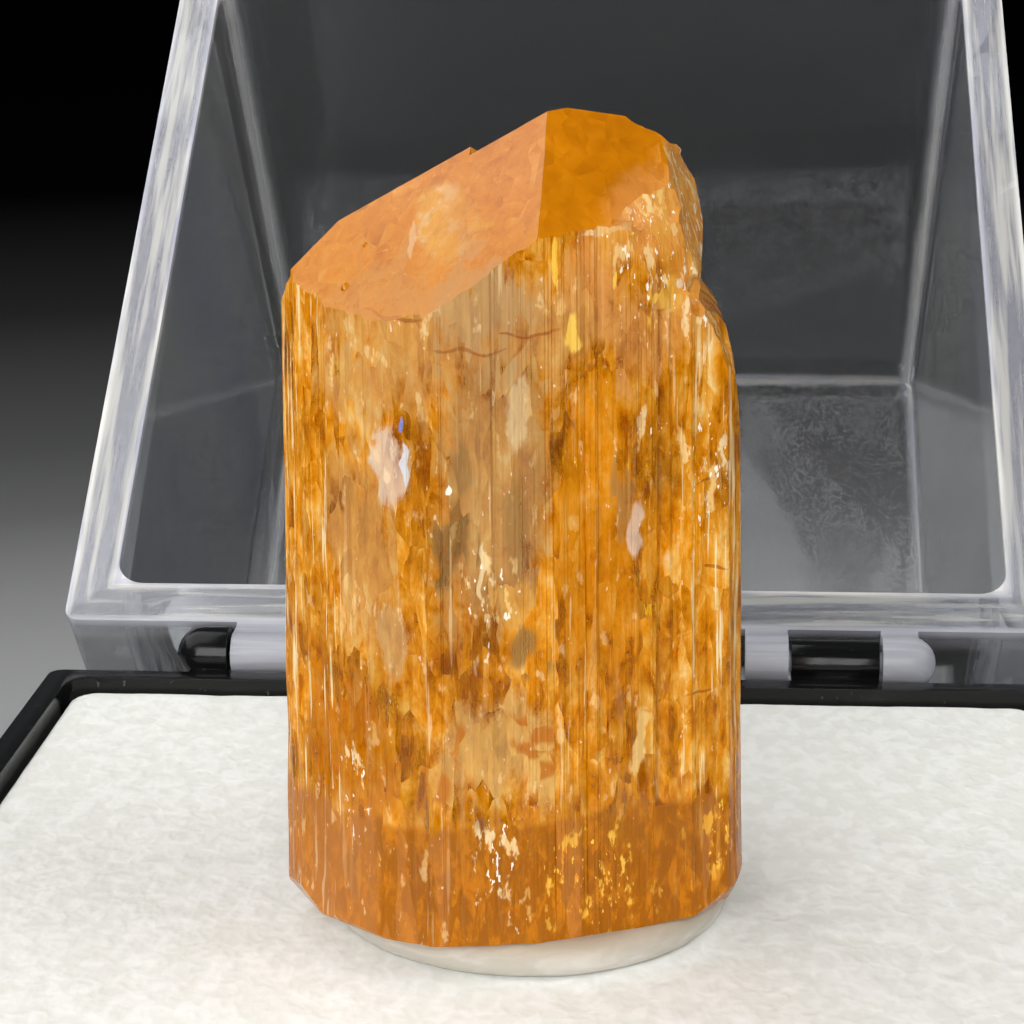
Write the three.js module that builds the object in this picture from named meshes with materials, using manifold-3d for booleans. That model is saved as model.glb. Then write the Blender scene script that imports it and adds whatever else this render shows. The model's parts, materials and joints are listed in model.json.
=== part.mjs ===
// A rough topaz crystal set on a pad of mounting putty in a small hinged specimen box, lid open.
// Millimetres. +Z is up, +Y points to the hinge side, +X to the right seen from the open front.
// The origin is the centre of the tray's underside.
import * as THREE from "three";
import { mergeGeometries, mergeVertices } from "three/addons/utils/BufferGeometryUtils.js";
import Module from "manifold-3d";

const wasm = await Module();
wasm.setup();

// Driving dimensions of the box
const BOX_SIDE = 32; // outer width and depth of both halves
const CORNER_RADIUS = 0.45;
const INNER_CORNER_RADIUS = 0.9;
const TRAY_HEIGHT = 18.6;
const TRAY_WALL = 0.75;
const TRAY_FLOOR = 1.3;
const LID_HEIGHT = 24.7;
const LID_WALL = 1.5;
const LID_TOP = 1.2;
const LID_DRAFT = 0.012; // each wall leans in by this share of the height
const CLOSED_GAP = 0.1; // between the two rims when the lid is shut
const OPEN_ANGLE = THREE.MathUtils.degToRad(142.5);

// The hinge: on the right the lid's lugs hold the tray's knuckle, on the left it is the other way round.
const HINGE_BEHIND = 1.1; // axis behind the tray's rear wall
const HINGE_ABOVE = 0.27; // axis above the tray's rim
const KNUCKLE_RADIUS = 0.7;
const LUG_RADIUS = 0.86;
const PIN_RADIUS = 0.34;
const PIN_LENGTH = 0.6;
const PIN_ROOT = 0.2; // how far inside its lug each pin starts
const BORE_RADIUS = 0.42;
const BORE_DEPTH = 0.72;
const KNUCKLE_SPAN = [7.55, 10.3];
const INNER_LUG_SPAN = [6.1, 7.45];
const OUTER_LUG_SPAN = [10.4, 12.1]; // its outer end is a dome

// The insert and the putty
const FOAM_GAP = 0.15; // between the foam block and the tray's walls
const FOAM_BELOW_RIM = 0.3;
const FOAM_CORNER = 0.95;
const PUTTY_RADIUS = 5.2;
const PUTTY_THICKNESS = 0.9;
const PUTTY_CENTRE = [0.35, -0.35];

// The crystal
const CRYSTAL_CENTRE = [0.1, -0.85];
const CRYSTAL_BLANK_HEIGHT = 21; // before the termination faces are cut
const CRYSTAL_TAPER = 0.0028; // loss of width in X for each millimetre of height
const RIB_COUNT = 156; // striations round the prism
const RIB_DEPTH = 0.11;
const RING_HEIGHTS = [0, 1.2, 2.6, 4.1, 5.5, 7.2, 8.4, 10.1, 11.6, 13.2, 14.4, 15.9, 17.3, 18.6, 21];
const RIB_DRIFT = 0.05; // how far a rib's face wanders from ring to ring

// Front half of the prism's cross-section, left to right. The back half is its image through the centre.
const PRISM_FRONT = [
  [-5.69, -1.05],
  [-5.18, -2.42],
  [-4.04, -3.55],
  [-2.98, -4.24],
  [-1.59, -4.72],
  [0.75, -4.36],
  [3.18, -3.33],
  [4.62, -2.5],
  [5.47, -1.86],
  [5.69, -1.05],
];

// Faces cut on the prism: azimuth of the normal, its tilt from +Z, and a point on the face, from the
// centre of the crystal's foot. A face with a "within" cuts only on the outer side of that second
// plane, which leaves a ledge.
const TERMINATION_FACES = [
  { name: "front left pyramid", azimuth: -120.1, tilt: 46.5, point: [-2.16, -3.94, 15.5] },
  { name: "front right pyramid", azimuth: -69.6, tilt: 45.3, point: [0.95, -1.61, 19.27] },
  { name: "back left pyramid", azimuth: 124, tilt: 45.8, point: [-1.97, -1.47, 17.85] },
  { name: "back right pyramid", azimuth: 92, tilt: 46, point: [1.89, -1.25, 19.27] },
  {
    name: "ledge on the back left pyramid",
    azimuth: 124,
    tilt: 45.8,
    point: [-0.55, -1.6, 18.46],
    within: { azimuth: -22, tilt: 72, point: [-0.85, -1.5, 18.4] },
  },
  {
    name: "ledge on the back right pyramid",
    azimuth: 88,
    tilt: 46,
    point: [1.4, 0.6, 17.1],
    within: { azimuth: 160, tilt: 80, point: [1.1, 1.6, 17] },
  },
  { name: "left corner", azimuth: -172, tilt: 62, point: [-5.05, -1.6, 15.85] },
  { name: "left end of the crest", azimuth: 160, tilt: 52, point: [-4.5, -1.9, 16.25] },
  { name: "upper right slope", azimuth: 14, tilt: 35.3, point: [3.03, -1.03, 19.08] },
  { name: "right fracture", azimuth: -12, tilt: 73.3, point: [3.7, -1.95, 17.97] },
  { name: "front right fracture", azimuth: -57, tilt: 65.4, point: [3.2, -2.93, 17.22] },
  {
    name: "step under the fracture",
    azimuth: -48,
    tilt: 80,
    point: [3.86, -2.5, 15.9],
    within: { azimuth: -65, tilt: 18, point: [3.9, -2.6, 15.35] },
  },
];

// Chipped lower edges: azimuth, how far the cut runs in from the edge and how far up.
const BASE_CHIPS = [
  { azimuth: -152, inward: 0.3, up: 0.62 },
  { azimuth: -128, inward: 0.16, up: 0.22 },
  { azimuth: -34, inward: 0.42, up: 0.6 },
  { azimuth: -8, inward: 0.34, up: 0.8 },
  { azimuth: 20, inward: 0.4, up: 0.55 },
  { azimuth: 75, inward: 0.28, up: 0.4 },
  { azimuth: 118, inward: 0.35, up: 0.45 },
  { azimuth: 165, inward: 0.3, up: 0.6 },
];

// The broken right side, seen from the front: the wall above the notch and the shoulder of the
// side crystal below it, as x and height.
const NOTCH_PROFILE = [
  [4.0, 22],
  [4.12, 18.3],
  [4.33, 17.4],
  [4.48, 16.6],
  [4.42, 15.95],
  [4.26, 15.05],
  [4.44, 14.8],
  [4.72, 14.6],
  [4.96, 14.3],
  [5.12, 13.6],
  [5.28, 12.4],
  [5.34, 11.4],
  [8, 11],
  [8, 22],
];
const NOTCH_TURN = THREE.MathUtils.degToRad(4);

// Upright grooves between parallel-grown crystals: azimuth of the groove, its depth, its half width
// and the heights between which it runs.
const GROOVES = [
  { azimuth: -39, depth: 0.34, reach: 0.26, from: -1, to: 15 },
  { azimuth: -141, depth: 0.16, reach: 0.2, from: 3.4, to: 15.4 },
  { azimuth: 152, depth: 0.3, reach: 0.3, from: -1, to: 12.5 },
  { azimuth: 62, depth: 0.26, reach: 0.34, from: 2.2, to: 21 },
];

// Small bites out of the edges: centre, half size and spin of an eight-sided cutter.
const EDGE_CHIPS = [
  { at: [2.45, -0.5, 19.25], size: 0.26, spin: 0.7 },
  { at: [-3.15, -1.75, 16.95], size: 0.2, spin: 2.2 },
  { at: [-4.35, -2.6, 15.6], size: 0.2, spin: 0.5 },
  { at: [4.45, -2.3, 15.2], size: 0.42, spin: 0.9 },
  { at: [5.8, -0.9, 1.75], size: 0.26, spin: 0.2 },
  { at: [-5.72, -1.2, 6.1], size: 0.24, spin: 1.4 },
  { at: [-2.6, -4.7, 14.5], size: 0.22, spin: 1.7 },
];

// Places worked out from the dimensions above
const half = BOX_SIDE / 2;
const foamTop = TRAY_HEIGHT - FOAM_BELOW_RIM;
const puttyTop = foamTop + PUTTY_THICKNESS;
const hingeY = half + HINGE_BEHIND;
const hingeZ = TRAY_HEIGHT + HINGE_ABOVE;

// Materials
const blackPlastic = new THREE.MeshStandardMaterial({ color: 0x141514, roughness: 0.35 });
const clearPlastic = new THREE.MeshStandardMaterial({
  color: 0xe6e9ee,
  roughness: 0.08,
  transparent: true,
  opacity: 0.35,
});
const whiteFoam = new THREE.MeshStandardMaterial({ color: 0xe8e6df, roughness: 0.95 });
const whitePutty = new THREE.MeshStandardMaterial({ color: 0xded7c8, roughness: 0.8 });
const topaz = new THREE.MeshStandardMaterial({
  color: 0xd9831f,
  roughness: 0.12,
  transparent: true,
  opacity: 0.85,
});

// A repeatable number from 0 to 1 for each pair of whole numbers.
function hash(i, j = 0) {
  const s = Math.sin(i * 12.9898 + j * 78.233) * 43758.5453;
  return s - Math.floor(s);
}

function toSolid(geometry) {
  const bare = geometry.index ? geometry.toNonIndexed() : geometry.clone();
  for (const name of Object.keys(bare.attributes)) {
    if (name !== "position") bare.deleteAttribute(name);
  }
  const merged = mergeVertices(bare, 1e-4);
  return new wasm.Manifold(
    new wasm.Mesh({
      numProp: 3,
      vertProperties: merged.attributes.position.array,
      triVerts: new Uint32Array(merged.index.array),
    }),
  );
}

function toGeometry(solid) {
  const mesh = solid.getMesh();
  const geometry = new THREE.BufferGeometry();
  geometry.setAttribute("position", new THREE.BufferAttribute(mesh.vertProperties, 3));
  geometry.setIndex(new THREE.BufferAttribute(mesh.triVerts, 1));
  geometry.computeVertexNormals();
  return geometry;
}

function roundedSquare(side, radius) {
  const h = side / 2;
  const shape = new THREE.Shape();
  shape.moveTo(h, -h + radius);
  shape.absarc(h - radius, h - radius, radius, 0, Math.PI / 2);
  shape.absarc(-h + radius, h - radius, radius, Math.PI / 2, Math.PI);
  shape.absarc(-h + radius, -h + radius, radius, Math.PI, Math.PI * 1.5);
  shape.absarc(h - radius, -h + radius, radius, Math.PI * 1.5, Math.PI * 2);
  return shape;
}

// An upright block with rounded vertical edges. draft narrows it with height, measured from z = 0.
function block(side, radius, bottom, top, draft = 0) {
  const geometry = new THREE.ExtrudeGeometry(roundedSquare(side, radius), {
    depth: top - bottom,
    bevelEnabled: false,
    curveSegments: 6,
  });
  geometry.translate(0, 0, bottom);
  const p = geometry.attributes.position;
  for (let i = 0; i < p.count; i++) {
    const narrowing = 1 - (2 * draft * p.getZ(i)) / side;
    p.setXY(i, p.getX(i) * narrowing, p.getY(i) * narrowing);
  }
  return toSolid(geometry);
}

// A cylinder along X from x0 to x1, round the hinge axis.
function roller(radius, x0, x1, sides = 24) {
  const geometry = new THREE.CylinderGeometry(radius, radius, x1 - x0, sides);
  geometry.rotateZ(Math.PI / 2);
  geometry.translate((x0 + x1) / 2, 0, 0);
  return toSolid(geometry);
}

// A roller whose outer end, the one farther from the middle of the box, is a dome.
function domedRoller(radius, x0, x1) {
  const outer = Math.abs(x1) > Math.abs(x0) ? x1 : x0;
  const centre = outer - Math.sign(outer) * radius;
  const ball = new THREE.SphereGeometry(radius, 24, 12);
  ball.rotateZ(Math.PI / 2);
  ball.translate(centre, 0, 0);
  const straight = outer === x1 ? roller(radius, x0, centre) : roller(radius, centre, x1);
  return straight.add(toSolid(ball));
}

// An arm from a wall to the hinge axis: a side profile in y and z, from x0 to x1.
function arm(profile, x0, x1) {
  const shape = new THREE.Shape(profile.map(([y, z]) => new THREE.Vector2(y, z)));
  const geometry = new THREE.ExtrudeGeometry(shape, { depth: x1 - x0, bevelEnabled: false });
  geometry.applyMatrix4(new THREE.Matrix4().set(0, 0, 1, x0, 1, 0, 0, 0, 0, 1, 0, 0, 0, 0, 0, 1));
  return toSolid(geometry);
}

// Profiles of the arms, from the hinge axis. Each starts inside the wall that carries it.
const trayArm = [
  [-HINGE_BEHIND - 0.4, -1.0],
  [-0.3, -0.74],
  [KNUCKLE_RADIUS * 0.6, -0.5],
  [0.1, 0.2],
  [-HINGE_BEHIND * 0.6, -0.3],
  [-HINGE_BEHIND - 0.4, -HINGE_ABOVE - 0.05],
];
const trayGusset = [
  [-HINGE_BEHIND - 0.4, -4.2],
  [-HINGE_BEHIND + 0.02, -4.2],
  [-0.1, -KNUCKLE_RADIUS * 0.98],
  [-0.3, -0.5],
  [-HINGE_BEHIND - 0.4, -0.6],
];
const lidArm = [
  [-HINGE_BEHIND - 0.5, CLOSED_GAP - HINGE_ABOVE],
  [-HINGE_BEHIND + 0.15, CLOSED_GAP - HINGE_ABOVE],
  [-0.3, -0.6],
  [0.6, 0.3],
  [0.1, 0.85],
  [-HINGE_BEHIND + 0.05, 2.6],
  [-HINGE_BEHIND - 0.5, 2.6],
];

// A knuckle with a blind bore in each end, carried by an arm.
function knuckle([x0, x1], profiles) {
  const arms = profiles.map((profile) => arm(profile, x0, x1));
  const body = arms.reduce((sum, one) => sum.add(one), roller(KNUCKLE_RADIUS, x0, x1));
  return body
    .subtract(roller(BORE_RADIUS, x0 - 1, x0 + BORE_DEPTH))
    .subtract(roller(BORE_RADIUS, x1 - BORE_DEPTH, x1 + 1));
}

// Two lugs with pins that reach into the knuckle between them. side is 1 on the right, -1 on the left.
function lugPair(side, profiles) {
  const place = ([x0, x1]) => (side > 0 ? [x0, x1] : [-x1, -x0]);
  const inner = place(INNER_LUG_SPAN);
  const outer = place(OUTER_LUG_SPAN);
  const armSpan = place([OUTER_LUG_SPAN[0], OUTER_LUG_SPAN[1] - LUG_RADIUS * 0.6]);
  const pinStart = INNER_LUG_SPAN[1] - PIN_ROOT;
  const pinEnd = OUTER_LUG_SPAN[0] + PIN_ROOT;
  const pieces = [
    roller(LUG_RADIUS, ...inner),
    domedRoller(LUG_RADIUS, ...outer),
    roller(PIN_RADIUS, ...place([pinStart, pinStart + PIN_ROOT + PIN_LENGTH])),
    roller(PIN_RADIUS, ...place([pinEnd - PIN_ROOT - PIN_LENGTH, pinEnd])),
  ];
  for (const profile of profiles) {
    pieces.push(arm(profile, ...inner), arm(profile, ...armSpan));
  }
  return pieces.reduce((sum, one) => sum.add(one));
}

const leftKnuckle = [-KNUCKLE_SPAN[1], -KNUCKLE_SPAN[0]];

function makeTray() {
  const shell = block(BOX_SIDE, CORNER_RADIUS, 0, TRAY_HEIGHT).subtract(
    block(BOX_SIDE - 2 * TRAY_WALL, INNER_CORNER_RADIUS, TRAY_FLOOR, TRAY_HEIGHT + 1),
  );
  const hinge = knuckle(KNUCKLE_SPAN, [trayArm, trayGusset])
    .add(lugPair(-1, [trayArm, trayGusset]))
    .translate([0, hingeY, hingeZ]);
  return toGeometry(shell.add(hinge));
}

// The lid as it lies when shut, from the hinge axis.
function makeLid() {
  const rim = CLOSED_GAP - HINGE_ABOVE;
  const shell = block(BOX_SIDE, CORNER_RADIUS, 0, LID_HEIGHT, LID_DRAFT).subtract(
    block(BOX_SIDE - 2 * LID_WALL, INNER_CORNER_RADIUS, -1, LID_HEIGHT - LID_TOP, LID_DRAFT),
  );
  return toGeometry(
    shell
      .translate([0, -hingeY, rim])
      .add(lugPair(1, [lidArm]))
      .add(knuckle(leftKnuckle, [lidArm])),
  );
}

function makeFoam() {
  const side = BOX_SIDE - 2 * (TRAY_WALL + FOAM_GAP);
  return toGeometry(block(side, FOAM_CORNER, TRAY_FLOOR, foamTop));
}

// A pressed disc of putty: its edge bulges and its flat top carries the crystal.
function makePutty() {
  const edge = PUTTY_THICKNESS / 2;
  const profile = [new THREE.Vector2(0, 0)];
  const steps = 6;
  for (let i = 0; i <= steps; i++) {
    const a = -Math.PI / 2 + (Math.PI * i) / steps;
    profile.push(new THREE.Vector2(PUTTY_RADIUS - edge + edge * Math.cos(a), edge + edge * Math.sin(a)));
  }
  profile.push(new THREE.Vector2(0, PUTTY_THICKNESS));
  const disc = new THREE.LatheGeometry(profile, 56);
  disc.rotateX(Math.PI / 2);
  disc.translate(PUTTY_CENTRE[0], PUTTY_CENTRE[1], foamTop);
  return disc;
}

// The closed cross-section of the prism, as a polyline.
function prismOutline() {
  const back = PRISM_FRONT.map(([x, y]) => [-x, -y]);
  return [...PRISM_FRONT, ...back].map(([x, y]) => new THREE.Vector2(x, y));
}

// Points where the striations meet, evenly shuffled along the outline, with the outward normal there.
function ribPoints() {
  const corners = prismOutline();
  const lengths = corners.map((p, i) => p.distanceTo(corners[(i + 1) % corners.length]));
  const perimeter = lengths.reduce((a, b) => a + b);
  const points = [];
  for (let i = 0; i < RIB_COUNT; i++) {
    let s = ((i + 0.7 * (hash(i, 1) - 0.5)) / RIB_COUNT) * perimeter;
    s = (s + perimeter) % perimeter;
    let k = 0;
    while (s > lengths[k]) {
      s -= lengths[k];
      k += 1;
    }
    const from = corners[k];
    const to = corners[(k + 1) % corners.length];
    const along = to.clone().sub(from).normalize();
    points.push({
      at: from.clone().addScaledVector(along, s),
      outward: new THREE.Vector2(along.y, -along.x),
    });
  }
  return points;
}

// The striated prism, before any face is cut: one ring of points for each height.
function prismBlank() {
  const ribs = ribPoints();
  const position = [];
  RING_HEIGHTS.forEach((z, ring) => {
    const width = 1 - CRYSTAL_TAPER * z;
    ribs.forEach(({ at, outward }, i) => {
      const groove = RIB_DEPTH * hash(i, 2) ** 1.5 + RIB_DRIFT * hash(i, 3 + ring);
      position.push(at.x * width - outward.x * groove, at.y - outward.y * groove, z);
    });
  });
  const last = (RING_HEIGHTS.length - 1) * RIB_COUNT;
  const bottom = position.push(0, 0, 0) / 3 - 1;
  const top = position.push(0, 0, CRYSTAL_BLANK_HEIGHT) / 3 - 1;
  const index = [];
  for (let i = 0; i < RIB_COUNT; i++) {
    const j = (i + 1) % RIB_COUNT;
    for (let row = 0; row < last; row += RIB_COUNT) {
      const up = row + RIB_COUNT;
      index.push(row + i, row + j, up + j, row + i, up + j, up + i);
    }
    index.push(bottom, j, i, top, last + i, last + j);
  }
  const geometry = new THREE.BufferGeometry();
  geometry.setAttribute("position", new THREE.Float32BufferAttribute(position, 3));
  geometry.setIndex(index);
  return toSolid(geometry);
}

// A big box that lies on the outer side of a plane.
function outsideOf(normal, point) {
  const size = 60;
  const box = new THREE.BoxGeometry(size, size, size);
  box.translate(0, 0, size / 2);
  const turn = new THREE.Quaternion().setFromUnitVectors(new THREE.Vector3(0, 0, 1), normal);
  box.applyQuaternion(turn);
  box.translate(...point);
  return toSolid(box);
}

function normalOf(azimuth, tilt) {
  const a = THREE.MathUtils.degToRad(azimuth);
  const t = THREE.MathUtils.degToRad(tilt);
  return new THREE.Vector3(Math.sin(t) * Math.cos(a), Math.sin(t) * Math.sin(a), Math.cos(t));
}

// How far the prism reaches in a level direction.
function reach(direction) {
  return Math.max(...prismOutline().map((p) => p.x * direction.x + p.y * direction.y));
}

// How far out the prism's surface lies on a level ray from its centre.
function surfaceAt(direction) {
  const corners = prismOutline();
  let distance = 0;
  corners.forEach((p, i) => {
    const edge = corners[(i + 1) % corners.length].clone().sub(p);
    const across = direction.x * edge.y - direction.y * edge.x;
    const along = (p.x * edge.y - p.y * edge.x) / across;
    const share = (p.x * direction.y - p.y * direction.x) / across;
    if (along > 0 && share >= 0 && share < 1) distance = along;
  });
  return distance;
}

// A wedge that cuts an upright V into the prism's surface, with a pointed upper end.
function uprightGroove({ azimuth, depth, reach: halfWidth, from, to }) {
  const level = normalOf(azimuth, 90);
  const surface = surfaceAt(level);
  const outside = 1;
  const slope = (halfWidth / depth) * (depth + outside);
  const shape = new THREE.Shape([
    new THREE.Vector2(surface - depth, 0),
    new THREE.Vector2(surface + outside, -slope),
    new THREE.Vector2(surface + outside, slope),
  ]);
  const wedge = new THREE.ExtrudeGeometry(shape, { depth: to - from, bevelEnabled: false });
  wedge.translate(0, 0, from);
  wedge.rotateZ(THREE.MathUtils.degToRad(azimuth));
  const lean = outsideOf(normalOf(azimuth + 180, 60), [level.x * surface, level.y * surface, to]);
  return toSolid(wedge).subtract(lean);
}

function makeCrystal() {
  let crystal = prismBlank();
  for (const face of TERMINATION_FACES) {
    let cut = outsideOf(normalOf(face.azimuth, face.tilt), face.point);
    if (face.within) {
      const { azimuth, tilt, point } = face.within;
      cut = cut.intersect(outsideOf(normalOf(azimuth, tilt), point));
    }
    crystal = crystal.subtract(cut);
  }
  for (const groove of GROOVES) {
    crystal = crystal.subtract(uprightGroove(groove));
  }
  for (const chip of BASE_CHIPS) {
    const level = normalOf(chip.azimuth, 90);
    const normal = new THREE.Vector3(level.x * chip.up, level.y * chip.up, -chip.inward).normalize();
    const far = reach(level);
    const point = [level.x * (far - chip.inward), level.y * (far - chip.inward), 0];
    crystal = crystal.subtract(outsideOf(normal, point));
  }
  const notch = new THREE.ExtrudeGeometry(
    new THREE.Shape(NOTCH_PROFILE.map(([x, z]) => new THREE.Vector2(x, z))),
    { depth: BOX_SIDE, bevelEnabled: false },
  );
  notch.translate(0, 0, -half);
  notch.rotateX(Math.PI / 2);
  notch.rotateZ(NOTCH_TURN);
  crystal = crystal.subtract(toSolid(notch));
  for (const { at, size, spin } of EDGE_CHIPS) {
    const chip = new THREE.OctahedronGeometry(size);
    chip.rotateX(spin);
    chip.rotateZ(2 * spin);
    chip.translate(...at);
    crystal = crystal.subtract(toSolid(chip));
  }
  return toGeometry(crystal);
}

function piece(name, geometry, material) {
  const mesh = new THREE.Mesh(geometry, material);
  mesh.name = name;
  return mesh;
}

const part = new THREE.Group();
part.add(piece("specimen_tray", makeTray(), blackPlastic));
part.add(piece("foam_insert", makeFoam(), whiteFoam));
part.add(piece("mounting_putty", makePutty(), whitePutty));

const crystal = piece("topaz_crystal", makeCrystal(), topaz);
crystal.position.set(CRYSTAL_CENTRE[0], CRYSTAL_CENTRE[1], puttyTop);
part.add(crystal);

const lidSwing = new THREE.Group();
lidSwing.position.set(0, hingeY, hingeZ);
lidSwing.rotation.x = -OPEN_ANGLE;
lidSwing.add(piece("hinged_lid", makeLid(), clearPlastic));
part.add(lidSwing);

export default part;
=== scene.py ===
"""Looks of a rough topaz crystal in its small hinged specimen box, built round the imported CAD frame."""
import json
import math
from functools import partial

import bmesh
import bpy
import numpy as np
from mathutils import Euler, Matrix, Vector
from mathutils.bvhtree import BVHTree


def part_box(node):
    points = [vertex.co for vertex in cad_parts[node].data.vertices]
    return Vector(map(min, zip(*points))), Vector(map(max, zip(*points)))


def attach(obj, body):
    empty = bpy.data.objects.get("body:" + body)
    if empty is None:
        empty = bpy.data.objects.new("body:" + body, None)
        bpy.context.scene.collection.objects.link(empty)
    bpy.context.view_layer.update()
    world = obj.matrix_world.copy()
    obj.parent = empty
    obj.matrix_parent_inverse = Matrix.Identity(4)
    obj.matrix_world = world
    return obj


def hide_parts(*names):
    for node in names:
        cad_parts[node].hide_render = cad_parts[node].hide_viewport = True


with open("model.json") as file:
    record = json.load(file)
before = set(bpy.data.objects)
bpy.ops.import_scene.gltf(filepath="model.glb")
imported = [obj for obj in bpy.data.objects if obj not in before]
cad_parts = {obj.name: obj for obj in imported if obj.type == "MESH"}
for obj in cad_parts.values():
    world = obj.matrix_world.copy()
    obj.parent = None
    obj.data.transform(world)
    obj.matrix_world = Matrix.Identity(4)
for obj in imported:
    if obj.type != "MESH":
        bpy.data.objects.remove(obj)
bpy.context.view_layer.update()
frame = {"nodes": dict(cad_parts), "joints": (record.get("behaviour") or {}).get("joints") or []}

MM = 0.001


def box_of(node):
    """The low and the high corner of a CAD node's box, in mm."""
    return np.array(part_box(node)) / MM


crystal_low = box_of("topaz_crystal")[0]
putty_low, putty_high = box_of("mounting_putty")
foam_low, foam_high = box_of("foam_insert")

# Sizes are in mm, and the crystal's own places start from the middle of its foot
CRYSTAL_FOOT = np.array([0.1, -0.85, crystal_low[2]])
CRYSTAL_TAPER = 0.0028
BLANK_HEIGHT = 21.0

# The ribs that run up the prism, and how much they drift between these heights
RIB_COUNT = 156
RIB_UNEVEN = 0.7
RIB_DEPTH = 0.11
RIB_DRIFT = 0.05
RING_HEIGHTS = np.array([0, 1.2, 2.6, 4.1, 5.5, 7.2, 8.4, 10.1, 11.6, 13.2, 14.4, 15.9, 17.3, 18.6, 21])
# Up to this height the ribs grow from a share of their depth to all of it
CALM_FOOT = 1.4
CALM_SHARE = 0.25

# Fine striae in each rib: whole ones, ones broken into lengths, and what is left where they are quiet
STRIAE_PER_RIB = 5
STRIA_DEPTH = 0.028
BROKEN_STRIA_DEPTH = 0.024
BROKEN_STRIA_LENGTHS = (0.7, 7)
QUIET_STRIAE = 0.35
ROW_COUNT = 78
ROW_UNEVEN = 0.09

# Corners of the front half of the prism's outline, x and y. The back is its image through the centre.
PRISM_FRONT = [
    (-5.69, -1.05), (-5.18, -2.42), (-4.04, -3.55), (-2.98, -4.24), (-1.59, -4.72),
    (0.75, -4.36), (3.18, -3.33), (4.62, -2.5), (5.47, -1.86), (5.69, -1.05),
]
PRISM_OUTLINE = np.array(PRISM_FRONT + [(-x, -y) for x, y in PRISM_FRONT])

# Azimuth and tilt of a top face's outward normal, a point on the face, the kind of surface, and the
# plane beyond which the face cuts, or None
TERMINATION_FACES = [
    (-120.1, 46.5, (-2.16, -3.94, 15.5), "growth", None),
    (-69.6, 45.3, (0.95, -1.61, 19.27), "growth", None),
    (124, 45.8, (-1.97, -1.47, 17.85), "growth", None),
    (92, 46, (1.89, -1.25, 19.27), "growth", None),
    (124, 45.8, (-0.55, -1.6, 18.46), "growth", (-22, 72, (-0.85, -1.5, 18.4))),
    (88, 46, (1.4, 0.6, 17.1), "growth", (160, 80, (1.1, 1.6, 17))),
    (-172, 62, (-5.05, -1.6, 15.85), "growth", None),
    (160, 52, (-4.5, -1.9, 16.25), "growth", None),
    (14, 35.3, (3.03, -1.03, 19.08), "fracture", None),
    (-12, 73.3, (3.7, -1.95, 17.97), "fracture", None),
    (-57, 65.4, (3.2, -2.93, 17.22), "fracture", None),
    (-48, 80, (3.86, -2.5, 15.9), "fracture", (-65, 18, (3.9, -2.6, 15.35))),
]
# Relief of grown, broken and chipped faces
GROWTH_HEIGHT = 0.014
RIPPLE_HEIGHT = 0.006
TERRACE_HEIGHT = 0.075
TERRACES = 4
CHIP_HEIGHT = 0.03

# Azimuth of a chip along the foot's edge, how far it reaches in and how steeply it rises
BASE_CHIPS = [
    (-152, 0.3, 0.62), (-128, 0.16, 0.22), (-34, 0.42, 0.6), (-8, 0.34, 0.8),
    (20, 0.4, 0.55), (75, 0.28, 0.4), (118, 0.35, 0.45), (165, 0.3, 0.6),
]
# Outline of what is missing over the side crystal, x and z, and its turn in degrees
NOTCH_PROFILE = [
    (4.0, 22), (4.12, 18.3), (4.33, 17.4), (4.48, 16.6), (4.42, 15.95), (4.26, 15.05), (4.44, 14.8),
    (4.72, 14.6), (4.96, 14.3), (5.12, 13.6), (5.28, 12.4), (5.34, 11.4), (8, 11), (8, 22),
]
NOTCH_TURN = 4
# Azimuth, depth, half width and the heights between which an upright groove runs
GROOVES = [
    (-39, 0.34, 0.26, 3, 15), (-141, 0.16, 0.2, 3.4, 15.4),
    (152, 0.3, 0.3, -1, 12.5), (62, 0.26, 0.34, 2.2, 21),
]
# Place and size of a chip on an edge
EDGE_CHIPS = [
    ((2.45, -0.5, 19.25), 0.26), ((-3.6, -3.1, 15.5), 0.1), ((-3.2, -2.4, 16.35), 0.07),
    ((4.45, -2.3, 15.2), 0.42), ((5.8, -0.9, 1.75), 0.26), ((-5.72, -1.2, 6.1), 0.24),
    ((-2.6, -4.7, 14.5), 0.22),
]
CHIP_KNOBBLE = 0.45
CHIP_STRETCH = (1, 1, 1.25)

# The lid as it lies when shut, from the hinge axis
LID_AXIS = np.array(frame["joints"][0]["pos_m"]) / MM
LID_OPEN = math.radians(142.5)
LID_MIDDLE = 17.1
LID_WALL = 15.25
LID_INNER = 14.49
LID_DRAFT = 0.012
LID_CEILING = 23.33
LID_CORNER = 0.26
LID_RIM = 0.35
LID_LUG = 1.5

# The foam: its mesh, rounded corners and upper edges, its lumps, and the flat place under the putty
FOAM_POINTS = 210
FOAM_MARGIN = 0.02
FOAM_CORNER = 0.95
FOAM_ROLL = 0.35
SMALL_LUMPS = 0.025
LARGE_LUMPS = 0.05
FOAM_SINK = 0.07
PRESSED_RADIUS = 4.6
PRESSED_FADE = 1.2

# The putty: points round it, rings, how uneven its edge is and how far that leans in
PUTTY_POINTS = 120
PUTTY_RINGS = 14
PUTTY_WOBBLE = 0.018
PUTTY_LEAN = 0.42

# The camera: its place from the middle of the foam's top, how far it is turned, tipped and rolled in
# degrees, and its focal length in the picture's own pixels
CAMERA_PLACE = (4.542, -62.387, 27.181)
CAMERA_TURN = (-4.190, 15.300, -0.473)
FOCAL_LENGTH = 2625.85
PICTURE_WIDTH = 1024
SENSOR_WIDTH = 36

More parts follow.
